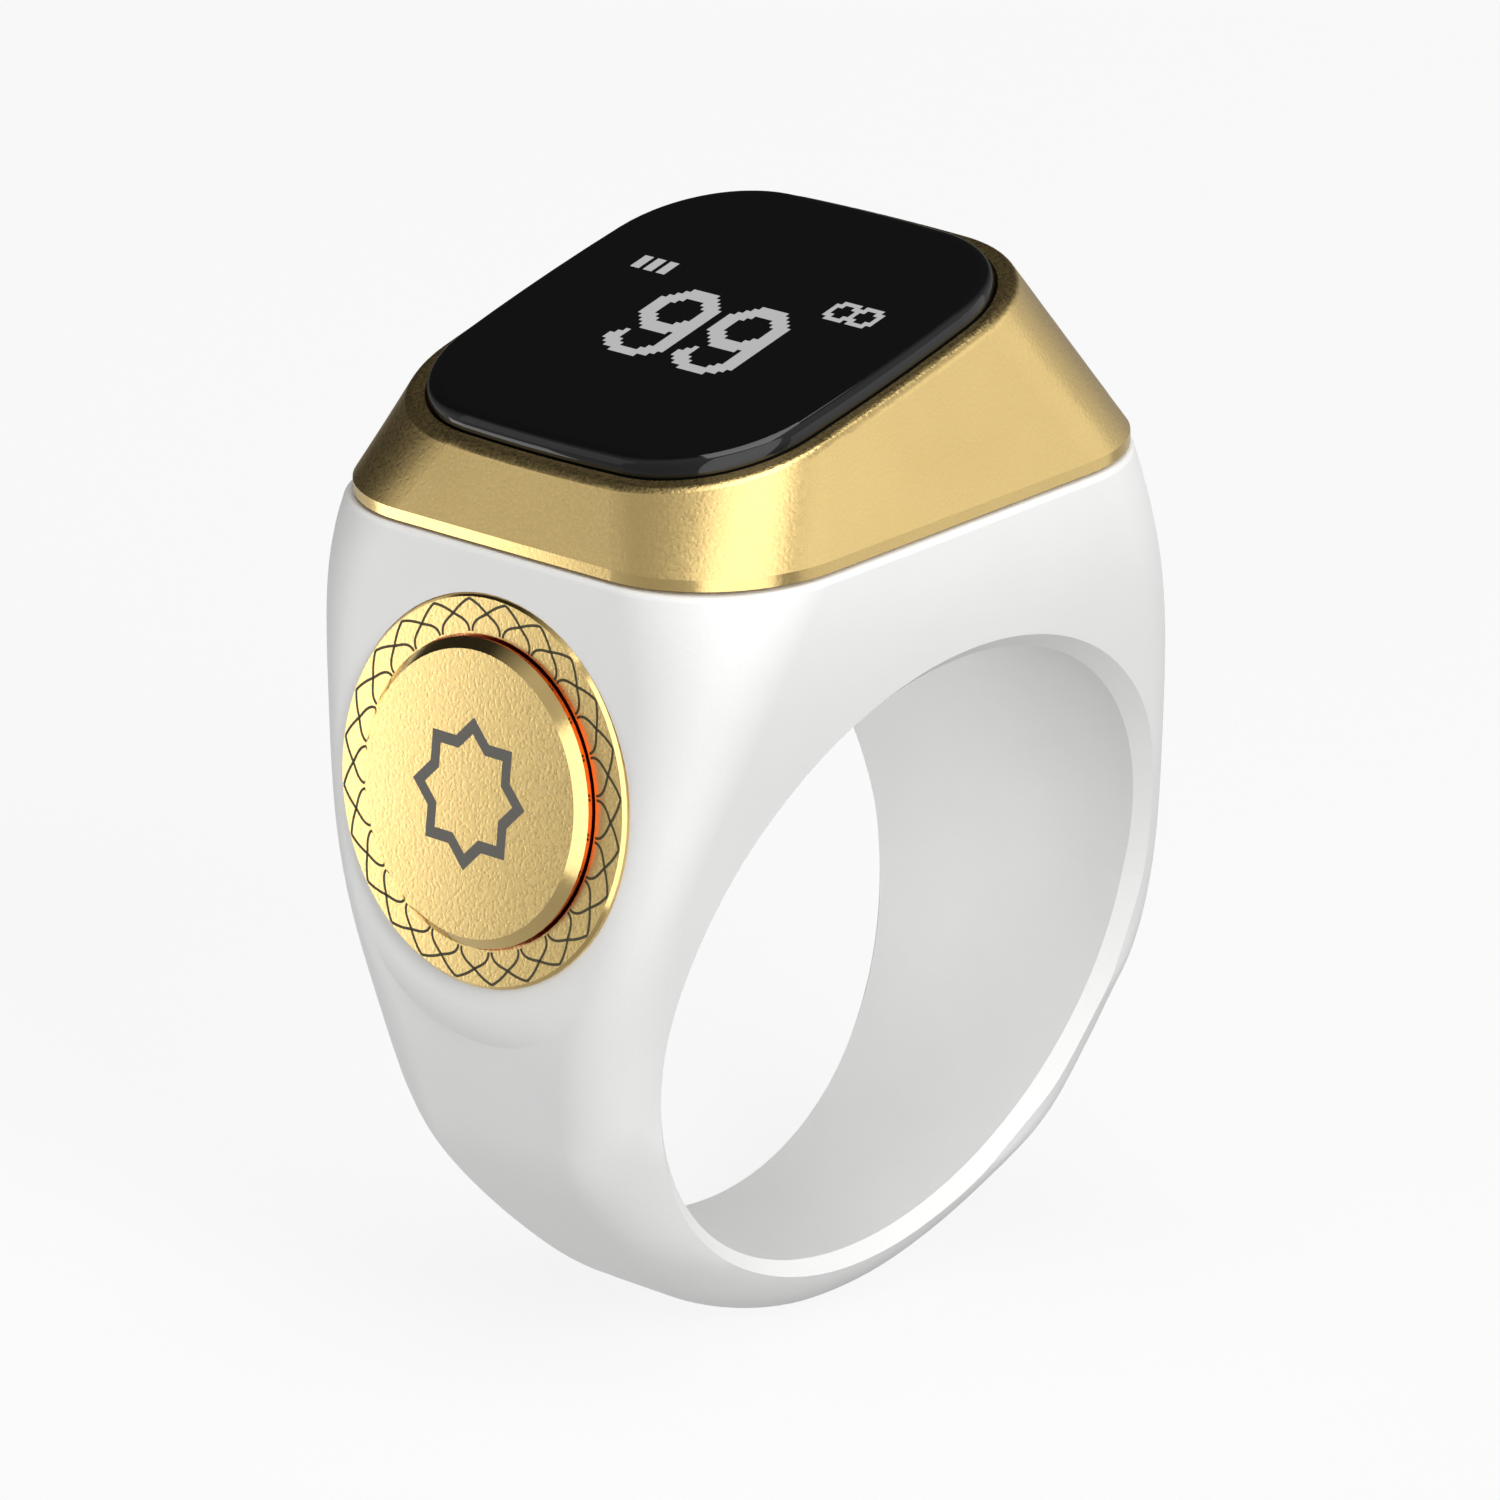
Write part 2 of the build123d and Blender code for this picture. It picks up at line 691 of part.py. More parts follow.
with BuildPart() as board_capacitors:
    capacitors_x = capacitor_margin + (capacitor_column_pitch + capacitor_length) / 2 - board_length / 2
    capacitors_y = capacitor_margin + capacitor_row_pitch + capacitor_width / 2 - board_width / 2
    with BuildSketch(lens_plane.offset(board_low - capacitor_height)):
        with Locations((capacitors_x, capacitors_y)):
            with GridLocations(capacitor_column_pitch, capacitor_row_pitch, 2, 3):
                Rectangle(capacitor_length, capacitor_width)
    extrude(amount=capacitor_height)
board_capacitors.part.label = "board_capacitors"

# Battery on its tape, with two leads that rise to the board
with BuildPart() as battery_tape:
    with BuildSketch(Plane.XY.offset(floor_z)):
        with Locations((battery_center_x, 0)):
            Rectangle(battery_length - 2 * tape_margin, battery_width - 2 * tape_margin)
    extrude(amount=tape_thickness)
battery_tape.part.label = "battery_tape"

with BuildPart() as battery:
    with BuildSketch(Plane.XY.offset(battery_low)):
        with Locations((battery_center_x, 0)):
            RectangleRounded(battery_length, battery_width, battery_corner)
    extrude(amount=battery_thickness)
    fillet(battery.faces().filter_by(Axis.Z).edges(), battery_corner)
battery.part.label = "battery"


def lead(start, run_x, run_y):
    """A round lead that leaves a face level and turns up to the main board."""
    turn = (start[0] + run_x, start[1] + run_y)
    rise = board_underside(turn[0] - lead_radius)
    with BuildLine() as path:
        FilletPolyline(start, (*turn, start[2]), (*turn, rise), radius=lead_bend)
    with BuildSketch(Plane(origin=start, z_dir=path.line % 0)) as section:
        Circle(lead_radius)
    sweep(section.sketch, path=path.line)


with BuildPart() as battery_leads:
    for side in (-lead_spacing, lead_spacing):
        battery_end = (battery_center_x - battery_length / 2, side, battery_low + battery_thickness / 2)
        lead(battery_end, -lead_run, 0)
battery_leads.part.label = "battery_leads"

# Coin vibration motor taped to the battery
with BuildPart() as motor_tape:
    with BuildSketch(Plane.XY.offset(battery_top)):
        with Locations((motor_center_x, 0)):
            Circle(motor_radius - motor_cap_inset)
    extrude(amount=tape_thickness)
motor_tape.part.label = "motor_tape"

with BuildPart() as vibration_motor:
    with BuildSketch(Plane.XY.offset(motor_low)):
        with Locations((motor_center_x, 0)):
            Circle(motor_radius)
    extrude(amount=motor_height - motor_cap)
    with BuildSketch(Plane.XY.offset(motor_low + motor_height - motor_cap)):
        with Locations((motor_center_x, 0)):
            Circle(motor_radius - motor_cap_inset)
    extrude(amount=motor_cap)
vibration_motor.part.label = "vibration_motor"

with BuildPart() as motor_leads:
    for side in (-lead_spacing / 2, lead_spacing / 2):
        motor_side = (motor_center_x + side, 0, motor_low + motor_height / 3)
        lead(motor_side, 0, -motor_radius - lead_run)
    with BuildSketch(Plane.XY.offset(battery_top)):
        with Locations((motor_center_x, 0)):
            Circle(motor_radius)
    extrude(amount=motor_height, mode=Mode.SUBTRACT)
motor_leads.part.label = "motor_leads"

# Charging contacts in the bore's ceiling and the strip that joins them to the board
with BuildPart() as charge_pins:
    with BuildSketch(Plane.XY.offset(bore_radius + pin_recess)):
        with GridLocations(0, pin_spacing, 1, 2):
            Circle(pin_radius)
    extrude(amount=pin_head_low - bore_radius - pin_recess)
    with BuildSketch(Plane.XY.offset(pin_head_low)):
        with GridLocations(0, pin_spacing, 1, 2):
            Circle(pin_head_radius)
    extrude(amount=pin_head)
charge_pins.part.label = "charge_pins"

with BuildPart() as charge_flex:
    flex_level = charge_flex_low + charge_flex_thickness / 2
    flex_rise_y = pocket_half_width - charge_flex_wall_gap
    flex_high = board_underside(-charge_flex_width / 2) - flex_bend
    strip_route = [
        (-pin_spacing / 2 - pin_head_radius, flex_level),
        (flex_rise_y, flex_level),
        (flex_rise_y, flex_high),
        (board_width / 2 - flex_bend, flex_high),
    ]
    strip(Plane.YZ, strip_route, flex_bend, charge_flex_thickness, charge_flex_width)
charge_flex.part.label = "charge_flex"

# Trim ring round the button: a flange on the pad, a sleeve in the body and a lip that keeps the button
with BuildPart() as button_trim:
    pad_disc(trim_sleeve_radius, -trim_sleeve_depth, 0)
    pad_disc(trim_radius, 0, trim_flange)
    chamfer(button_trim.edges().sort_by(pad_axis)[-1], trim_chamfer)
    pad_disc(button_radius + running_clearance, -trim_sleeve_depth, trim_flange, Mode.SUBTRACT)
    pad_disc(trim_sleeve_radius - trim_sleeve_wall, -trim_sleeve_depth, -trim_lip_depth, Mode.SUBTRACT)
button_trim.part.label = "button_trim"

# Push button: cap with a bevelled edge, a flange under the trim's lip and a stem on the switch
with BuildPart() as count_button:
    pad_disc(button_radius, button_back, button_face)
    chamfer(count_button.edges().sort_by(pad_axis)[-1], button_bevel_height, button_bevel_width)
    flange_radius = trim_sleeve_radius - trim_sleeve_wall - running_clearance
    pad_disc(flange_radius, button_back, button_flange_top)
    pad_disc(stem_radius, plunger_top, button_back)
count_button.part.label = "count_button"

with BuildPart() as button_gasket:
    pad_disc(flange_radius - gasket_edge_gap, -trim_seat_depth, button_back)
    pad_disc(gasket_inner_radius, -trim_seat_depth, button_back, Mode.SUBTRACT)
button_gasket.part.label = "button_gasket"

# Tactile switch on its small board
board_gap = 2 * switch_pocket_gap
with BuildPart() as switch_board:
    board_size = (switch_pocket_width - board_gap, switch_pocket_height - board_gap)
    pad_block(*board_size, switch_board_low, switch_board_top)
switch_board.part.label = "switch_board"

with BuildPart() as switch_housing:
    pad_block(switch_width, switch_height, switch_board_top, switch_body_top)
    pad_disc(switch_well_radius, switch_well_floor, switch_body_top, Mode.SUBTRACT)
switch_housing.part.label = "switch_housing"

with BuildPart() as switch_dome:
    dome_rim = switch_well_radius - press_clearance
    with BuildSketch(pad_section):
        with BuildLine():
            ThreePointArc(
                (-dome_rim, switch_well_floor + dome_thickness),
                (0, plunger_low),
                (dome_rim, switch_well_floor + dome_thickness),
            )
            Line((dome_rim, switch_well_floor + dome_thickness), (dome_rim, switch_well_floor))
            ThreePointArc(
                (dome_rim, switch_well_floor),
                (0, plunger_low - dome_thickness),
                (-dome_rim, switch_well_floor),
            )
            Line((-dome_rim, switch_well_floor), (-dome_rim, switch_well_floor + dome_thickness))
        make_face()
        split(bisect_by=Plane.YZ, keep=Keep.TOP)
    revolve(axis=pad_axis)
switch_dome.part.label = "switch_dome"

with BuildPart() as switch_plunger:
    pad_disc(plunger_flange_radius, plunger_low, plunger_low + plunger_flange)
    pad_disc(plunger_radius, plunger_low, plunger_top)
switch_plunger.part.label = "switch_plunger"

with BuildPart() as switch_cover:
    pad_block(switch_width, switch_height, switch_body_top, switch_cover_top)
    pad_disc(plunger_radius + running_clearance, switch_body_top, switch_cover_top, Mode.SUBTRACT)
switch_cover.part.label = "switch_cover"

# Strip from the switch, through the slot in the cheek, up to the main board
with BuildPart() as switch_flex:
    strip(Plane.XZ, switch_route, flex_bend, flex_thickness, flex_width)
switch_flex.part.label = "switch_flex"

pieces = [
    ring_body,
    bezel,
    bezel_seal,
    display_lens,
    lens_adhesive,
    display_bond,
    oled_panel,
    display_flex,
    display_carrier,
    carrier_screws,
    main_board,
    bluetooth_chip,
    clock_crystal,
    chip_antenna,
    board_capacitors,
    battery_tape,
    battery,
    battery_leads,
    motor_tape,
    vibration_motor,
    motor_leads,
    charge_pins,
    charge_flex,
    button_trim,
    count_button,
    button_gasket,
    switch_board,
    switch_housing,
    switch_dome,
    switch_plunger,
    switch_cover,
    switch_flex,
]
os.makedirs("parts", exist_ok=True)
for piece in pieces:
    export_step(piece.part, f"parts/{piece.part.label}.step")
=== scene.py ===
"""Dresses a digital tasbih counter, worn as a finger ring, and sets it in a small studio."""

import json
from math import cos, pi, radians, sin

import bmesh
import bpy
from bpy.props import FloatProperty, FloatVectorProperty, IntProperty, PointerProperty
from mathutils import Matrix, Vector
from mathutils.geometry import interpolate_bezier


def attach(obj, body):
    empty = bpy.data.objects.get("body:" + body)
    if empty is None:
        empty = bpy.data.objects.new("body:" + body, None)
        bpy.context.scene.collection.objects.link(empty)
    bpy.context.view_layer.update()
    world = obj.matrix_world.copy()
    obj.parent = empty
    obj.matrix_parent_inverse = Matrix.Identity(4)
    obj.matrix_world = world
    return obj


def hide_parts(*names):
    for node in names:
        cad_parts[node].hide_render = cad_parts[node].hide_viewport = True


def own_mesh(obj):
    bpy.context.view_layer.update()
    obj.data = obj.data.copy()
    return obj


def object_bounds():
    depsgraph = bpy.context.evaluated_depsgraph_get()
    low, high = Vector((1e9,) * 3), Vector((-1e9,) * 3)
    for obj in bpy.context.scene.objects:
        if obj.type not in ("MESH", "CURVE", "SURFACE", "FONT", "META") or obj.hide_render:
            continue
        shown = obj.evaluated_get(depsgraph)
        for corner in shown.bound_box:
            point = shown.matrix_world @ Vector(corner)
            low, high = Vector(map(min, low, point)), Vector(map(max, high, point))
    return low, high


bl_info = {
    "name": "Tasbih counter ring",
    "version": (1, 0, 0),
    "blender": (4, 5, 0),
    "location": "3D View > Sidebar > Tasbih",
    "description": "Finishes, display marks, border ornament and studio for a finger ring counter",
    "category": "Object",
}

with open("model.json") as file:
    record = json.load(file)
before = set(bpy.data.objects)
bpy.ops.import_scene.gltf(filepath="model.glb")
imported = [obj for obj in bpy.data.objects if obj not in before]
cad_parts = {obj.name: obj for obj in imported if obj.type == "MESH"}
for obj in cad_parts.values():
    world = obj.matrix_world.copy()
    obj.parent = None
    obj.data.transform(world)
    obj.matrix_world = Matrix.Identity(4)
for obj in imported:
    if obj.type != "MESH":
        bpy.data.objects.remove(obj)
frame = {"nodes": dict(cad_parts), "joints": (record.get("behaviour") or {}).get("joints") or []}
cad_box = [list(corner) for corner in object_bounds()]
MM = 0.001

# Points this close to a node's outermost one lie on the same flat face
FLAT_DEPTH = 0.002 * MM
# Faces nearer the button's axis than this stand in the groove between the button and its trim, whose walls
# get the painted bounce light
GROOVE_REACH = 4.9 * MM
# Least lean of a normal along the button's axis on a blasted front, and most lean on a groove wall
FRONT_LEAN = 0.98
WALL_LEAN = 0.2
# Most upward lean of a normal on the bezel's upright foot, and least one on the lens's outer face
FOOT_LEAN = 0.1
LENS_LEAN = 0.5
# Thickness of the enamel, the printed ink and the lit cells
MARK_THICKNESS = 0.004 * MM
# Most values of a noise node lie between these two
NOISE_LOW = 0.3
NOISE_HIGH = 0.7
# Breadth of a finish's patches of colour, in grains
PATCH_GRAINS = 20
# Half of the floor's side, and the nearest that the camera sees, in metres
FLOOR_REACH = 3.0
NEAREST_VIEW = 0.01
# Width of the camera's sensor in mm
SENSOR_WIDTH = 36.0

# Rows of lit cells, top row first, as a small dot matrix display draws them
LEVEL_BARS = ["##.##.##"] * 4
LINK_LOOPS = [".####.####.", "##..###..##", "#....#....#", "#....#....#", "##..###..##", ".####.####."]
FIGURE_NINE = [
    "....######....",
    "...########...",
    "..##########..",
    ".####....####.",
    "####......####",
    "###........###",
    "###........###",
    "###........###",
    "###........###",
    "####......####",
    ".####....#####",
    "..############",
    "...###########",
    "....######.###",
    "...........###",
    "..#........###",
    ".##........###",
    "###........###",
    "####......####",
    ".####....####.",
    "..##########..",
    "....######....",
]

# A petal's half outline, from its tip to its foot: share of the pitch, share of the border's breadth
PETAL_FLANK = [(0.0, 1.0), (0.2, 0.88), (0.36, 0.72), (0.5, 0.58)]
PETAL_FOOT = [(0.5, 0.58), (0.66, 0.44), (0.95, 0.34), (0.95, 0.0)]
CURVE_POINTS = 12
STAR_POINTS = 8
# Radius of the hollows between the star's points, as a share of the points' radius
STAR_HOLLOW = cos(2 * pi / STAR_POINTS) / cos(pi / STAR_POINTS)


def linear(hex_colour):
    """Linear red, green, blue and alpha of an sRGB hex colour."""
    parts = [int(hex_colour[start : start + 2], 16) / 255 for start in (1, 3, 5)]
    return tuple(c / 12.92 if c <= 0.04045 else ((c + 0.055) / 1.055) ** 2.4 for c in parts) + (1.0,)


def add_node(tree, kind, inputs=None, **settings):
    """Adds a shader node with its settings, and with its inputs as values or as links from sockets."""
    made = tree.nodes.new(kind)
    for key, value in settings.items():
        setattr(made, key, value)
    for key, value in (inputs or {}).items():
        if isinstance(value, bpy.types.NodeSocket):
            tree.links.new(value, made.inputs[key])
        else:
            made.inputs[key].default_value = value
    return made


def start_material(name):
    """An empty node material and its output node."""
    material = bpy.data.materials.new(name)
    material.use_nodes = True
    material.node_tree.nodes.clear()
    return material, add_node(material.node_tree, "ShaderNodeOutputMaterial")


def grained(name, colour, shade, metallic, roughness, spread, grain, relief):
    """A finish with a fine grain: two near linear colours, a roughness that wanders and a low relief."""
    material, output = start_material(name)
    tree = material.node_tree
    place = add_node(tree, "ShaderNodeTexCoord").outputs["Object"]
    fine_scale = 1 / grain
    fine = add_node(tree, "ShaderNodeTexNoise", {"Vector": place, "Scale": fine_scale, "Detail": 1.0})
    patch = {"Vector": place, "Scale": fine_scale / PATCH_GRAINS, "Detail": 2.0}
    broad = add_node(tree, "ShaderNodeTexNoise", patch)
    colours = {"A": shade, "B": colour, "Factor": broad.outputs["Fac"]}
    mix = add_node(tree, "ShaderNodeMix", colours, data_type="RGBA")
    limits = {
        "From Min": NOISE_LOW,
        "From Max": NOISE_HIGH,
        "To Min": roughness - spread,
        "To Max": roughness + spread,
    }
    rough = add_node(tree, "ShaderNodeMapRange", {"Value": fine.outputs["Fac"], **limits})
    bump = add_node(tree, "ShaderNodeBump", {"Height": fine.outputs["Fac"], "Distance": relief})
    shader = add_node(
        tree,
        "ShaderNodeBsdfPrincipled",
        {
            "Base Color": mix.outputs["Result"],
            "Metallic": metallic,
            "Roughness": rough.outputs["Result"],
            "Normal": bump.outputs["Normal"],
        },
    )
    tree.links.new(shader.outputs["BSDF"], output.inputs["Surface"])
    return material


def dress(node, *materials):
    """Gives a CAD node its materials, in slot order."""
    obj = frame["nodes"][node]
    obj.data.materials.clear()
    for material in materials:
        obj.data.materials.append(material)
    return obj


def paint_faces(obj, rule):
    """Gives each face the slot that the rule picks from its normal and its middle."""
    for face in obj.data.polygons:
        face.material_index = rule(face.normal, face.center)


def flat_top(node, out):
    """Middle of a node's outermost flat face in a given direction."""
    points = [vertex.co for vertex in frame["nodes"][node].data.vertices]
    height = max(point.dot(out) for point in points)
    top = [point for point in points if height - point.dot(out) < FLAT_DEPTH]
    lows = [min(point[axis] for point in top) for axis in range(3)]
    highs = [max(point[axis] for point in top) for axis in range(3)]
    return (Vector(lows) + Vector(highs)) / 2


def seat(origin, right, out):
    """A local frame on a face: x to the right, y up and z out of it."""
    up = out.cross(right)
    return Matrix.Translation(origin) @ Matrix((right, up, out)).transposed().to_4x4()


def plate(name, outline, material, place, body):
    """A thin plate from a bmesh of flat faces, seated on a face of the object and riding on a body."""
    raised = bmesh.ops.extrude_face_region(outline, geom=outline.faces[:])
    tops = [item for item in raised["geom"] if isinstance(item, bmesh.types.BMVert)]
    bmesh.ops.translate(outline, verts=tops, vec=(0, 0, MARK_THICKNESS))
    bmesh.ops.recalc_face_normals(outline, faces=outline.faces)
    bmesh.ops.transform(outline, matrix=place, verts=outline.verts)
    mesh = bpy.data.meshes.new(name)
    outline.to_mesh(mesh)
    outline.free()
    mesh.materials.append(material)
    obj = bpy.data.objects.new(name, mesh)
    bpy.context.scene.collection.objects.link(obj)
    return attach(obj, body)


def lit_cells(rows, cell, left, low):
    """A bmesh of square cells, one for each mark in the rows, from a lower left corner."""
    cells = bmesh.new()
    corners = {}
    for up, row in enumerate(reversed(rows)):
        for right, mark in enumerate(row):
            if mark == "#":
                spots = [(right, up), (right + 1, up), (right + 1, up + 1), (right, up + 1)]
                for x, y in spots:
                    if (x, y) not in corners:
                        corners[x, y] = cells.verts.new((left + x * cell, low + y * cell, 0))
                cells.faces.new([corners[spot] for spot in spots])
    return cells


def ribbon(lines, points, breadth):
    """Adds to a bmesh a flat ribbon of one breadth along points in the XY plane."""
    rows = []
    for index, point in enumerate(points):
        ahead = points[min(index + 1, len(points) - 1)] - points[max(index - 1, 0)]
        side = Vector((-ahead.y, ahead.x, 0)).normalized() * breadth / 2
        rows.append((lines.verts.new(point + side), lines.verts.new(point - side)))
    for (a, b), (c, d) in zip(rows, rows[1:]):
        lines.faces.new((a, b, d, c))


def button_finish(normal, middle):
    """Slot of a face on the trim or the button: blasted front, polished edge, or groove wall painted with
    bounce light.
    """
    lean = normal.dot(button_out)
    if lean > FRONT_LEAN:
        return 0
    offset = middle - trim_seat.translation
    from_axis = (offset - button_out * offset.dot(button_out)).length
    return 2 if abs(lean) < WALL_LEAN and from_axis < GROOVE_REACH else 1


def bezel_finish(normal, middle):
    """Slot of a face on the bezel: blasted slope or brushed foot."""
    return 1 if abs(normal.z) < FOOT_LEAN else 0


press_joint = frame["joints"][0]
press_axis = Vector(press_joint["axis"]).normalized()
button_out = -press_axis
to_right = Vector((0, -1, 0))
lens_tops = [face for face in frame["nodes"]["display_lens"].data.polygons if face.normal.z > LENS_LEAN]
lens_out = max(lens_tops, key=lambda face: face.area).normal.copy()
trim_seat = seat(flat_top("button_trim", button_out), to_right, button_out)
button_seat = seat(flat_top("count_button", button_out), to_right, button_out)
display_seat = seat(flat_top("display_lens", lens_out), to_right, lens_out)


class ShellSettings(bpy.types.PropertyGroup):
    """Colours and grain of the ring's body and of its gold parts."""

    plastic: FloatVectorProperty(
        name="Plastic",
        description="Body's colour",
        subtype="COLOR",
        size=4,
        default=linear("#F1F1F0"),
    )
    plastic_shade: FloatVectorProperty(
        name="Plastic shade",
        description="Body's second colour",
        subtype="COLOR",
        size=4,
        default=linear("#ECECEB"),
    )
    plastic_grain: FloatProperty(
        name="Plastic grain",
        description="Grain of the body's texture",
        subtype="DISTANCE",
        default=0.16 * MM,
    )
    gold: FloatVectorProperty(
        name="Gold",
        description="Plating's colour",
        subtype="COLOR",
        size=4,
        default=linear("#EFD18E"),
    )
    gold_shade: FloatVectorProperty(
        name="Gold shade",
        description="Plating's second colour",
        subtype="COLOR",
        size=4,
        default=linear("#E8CA86"),
    )
    gold_grain: FloatProperty(
        name="Gold grain",
        description="Grain of the plating",
        subtype="DISTANCE",
        default=0.11 * MM,
    )
    # Groove colours are painted bounce light: orange for the light that reflects between the groove's close
    # walls, not the plating's own colour
    groove: FloatVectorProperty(
        name="Groove",
        description="Colour of gold between close walls",
        subtype="COLOR",
        size=4,
        default=linear("#E8702A"),
    )
    groove_painted_bounce_shade: FloatVectorProperty(
        name="Groove shade",
        description="Groove's second colour",
        subtype="COLOR",
        size=4,
        default=linear("#DE5E1C"),
    )


class BorderSettings(bpy.types.PropertyGroup):
    """Sizes and inks of the petal border on the trim ring and of the star on the button."""

    petals: IntProperty(name="Petals", description="Petals round the trim", default=24)
    turn: FloatProperty(
        name="Turn",
        description="Turn of the border, share of a petal",
        subtype="FACTOR",
        min=-1.0,
        max=1.0,
        default=-0.3,
    )
    inner: FloatProperty(
        name="Feet",
        description="Radius of the petals' feet",
        subtype="DISTANCE",
        default=4.72 * MM,
    )
    outer: FloatProperty(
        name="Tips",
        description="Radius of the petals' tips",
        subtype="DISTANCE",
        default=5.69 * MM,
    )
    line: FloatProperty(
        name="Line",
        description="Breadth of an engraved line",
        subtype="DISTANCE",
        default=0.085 * MM,
    )
    ink: FloatVectorProperty(
        name="Ink",
        description="Colour of the engraved lines",
        subtype="COLOR",
        size=4,
        default=linear("#4A4428"),
    )
    ink_shade: FloatVectorProperty(
        name="Ink shade",
        description="Second colour of the engraved lines",
        subtype="COLOR",
        size=4,
        default=linear("#3E3921"),
    )
    star_radius: FloatProperty(
        name="Star",
        description="Radius of the star's points",
        subtype="DISTANCE",
        default=2.3 * MM,
    )
    star_band: FloatProperty(
        name="Star band",
        description="Step from the star's points in to those of its opening",
        subtype="DISTANCE",
        default=0.5 * MM,
    )
    star_ink: FloatVectorProperty(
        name="Star ink",
        description="Colour of the star",
        subtype="COLOR",
        size=4,
        default=linear("#5F5C55"),
    )
    star_shade: FloatVectorProperty(
        name="Star shade",
        description="Second colour of the star",
        subtype="COLOR",
        size=4,
        default=linear("#5A5750"),
    )


class DisplaySettings(bpy.types.PropertyGroup):
    """Cells and colours of the lit marks and of the lens."""

    cell: FloatProperty(
        name="Cell",
        description="Pitch of the lit cells",
        subtype="DISTANCE",
        default=0.175 * MM,
    )
    light: FloatVectorProperty(
        name="Light",
        description="Light of the lit cells",
        subtype="COLOR",
        size=4,
        default=linear("#B4B4B4"),
    )
    unlit: FloatVectorProperty(
        name="Unlit",
        description="Own colour of the lit cells",
        subtype="COLOR",
        size=4,
        default=linear("#0A0A0A"),
    )
    glass: FloatVectorProperty(
        name="Glass",
        description="Colour of the dark lens",
        subtype="COLOR",
        size=4,
        default=linear("#111111"),
    )
    glass_shade: FloatVectorProperty(
        name="Glass shade",
        description="Second colour of the dark lens",
        subtype="COLOR",
        size=4,
        default=linear("#0E0E0E"),
    )


class StageSettings(bpy.types.PropertyGroup):
    """Camera, floor and lights of the studio."""

    azimuth: FloatProperty(
        name="Azimuth",
        description="Camera's direction round the ring",
        subtype="ANGLE",
        default=radians(-46.56),
    )
    elevation: FloatProperty(
        name="Elevation",
        description="Camera's height as an angle",
        subtype="ANGLE",
        default=radians(19.24),
    )
    distance: FloatProperty(
        name="Distance",
        description="Camera's distance from the bore",
        subtype="DISTANCE",
        default=300.0 * MM,
    )
    focal: FloatProperty(
        name="Focal length",
        description="Focal length of the camera's lens",
        unit="CAMERA",
        default=238.2,
    )
    aim: FloatVectorProperty(
        name="Aim",
        description="Camera's aim, right and up of the bore",
        unit="LENGTH",
        size=2,
        default=(-0.733 * MM, 4.966 * MM),
    )
    floor: FloatVectorProperty(
        name="Floor",
        description="Floor's colour",
        subtype="COLOR",
        size=4,
        default=linear("#5E5E5E"),
    )
    floor_light: FloatVectorProperty(
        name="Floor light",
        description="Even light of the floor",
        subtype="COLOR",
        size=4,
        default=linear("#ECECEC"),
    )
    key_light: FloatProperty(name="Key light", description="Brightness of the key softbox", default=9.0)
    bounce: FloatProperty(name="Bounce", description="Brightness of the bounce from the left", default=1.8)
    back_light: FloatProperty(name="Back light", description="Brightness of the softbox behind", default=3.5)
    top_light: FloatProperty(name="Top light", description="Brightness of the top softbox", default=2.7)
    left_light: FloatProperty(name="Left card", description="Brightness of the left card", default=1.9)
    bezel_light: FloatProperty(name="Bezel card", description="Brightness of the bezel's card", default=0.27)
    front_light: FloatProperty(name="Front card", description="Brightness of the front card", default=1.35)
    right_light: FloatProperty(name="Right card", description="Brightness of the right card", default=0.52)
    air_light: FloatProperty(name="Air light", description="Strength of the light all round", default=0.56)
    curtain_air: FloatProperty(
        name="Curtain air",
        description="Share of that light from above the back",
        subtype="FACTOR",
        min=0.0,
        max=1.0,
        default=0.04,
    )
    left_air: FloatProperty(
        name="Left air",
        description="Share of that light from the left",
        subtype="FACTOR",
        min=0.0,
        max=1.0,
        default=0.6,
    )
    low_air: FloatProperty(
        name="Low air",
        description="Share of that light from below the front",
        subtype="FACTOR",
        min=0.0,
        max=1.0,
        default=0.5,
    )


class FinishBody(bpy.types.Operator):
    """Gives the moulded ring body its white finish."""

    bl_idname = "tasbih.finish_body"
    bl_label = "Finish body"

    def execute(self, context):
        shell = context.scene.tasbih_shell
        # Moulded ABS from a finely eroded mould: a soft, slightly broken sheen with no gloss.
        # The real grain is too fine to show at this size, so it is drawn coarser.
        plastic = grained(
            "moulded_white_abs",
            shell.plastic,
            shell.plastic_shade,
            metallic=0.0,
            roughness=0.54,
            spread=0.05,
            grain=shell.plastic_grain,
            relief=0.006 * MM,
        )
        dress("ring_body", plastic)
        return {"FINISHED"}


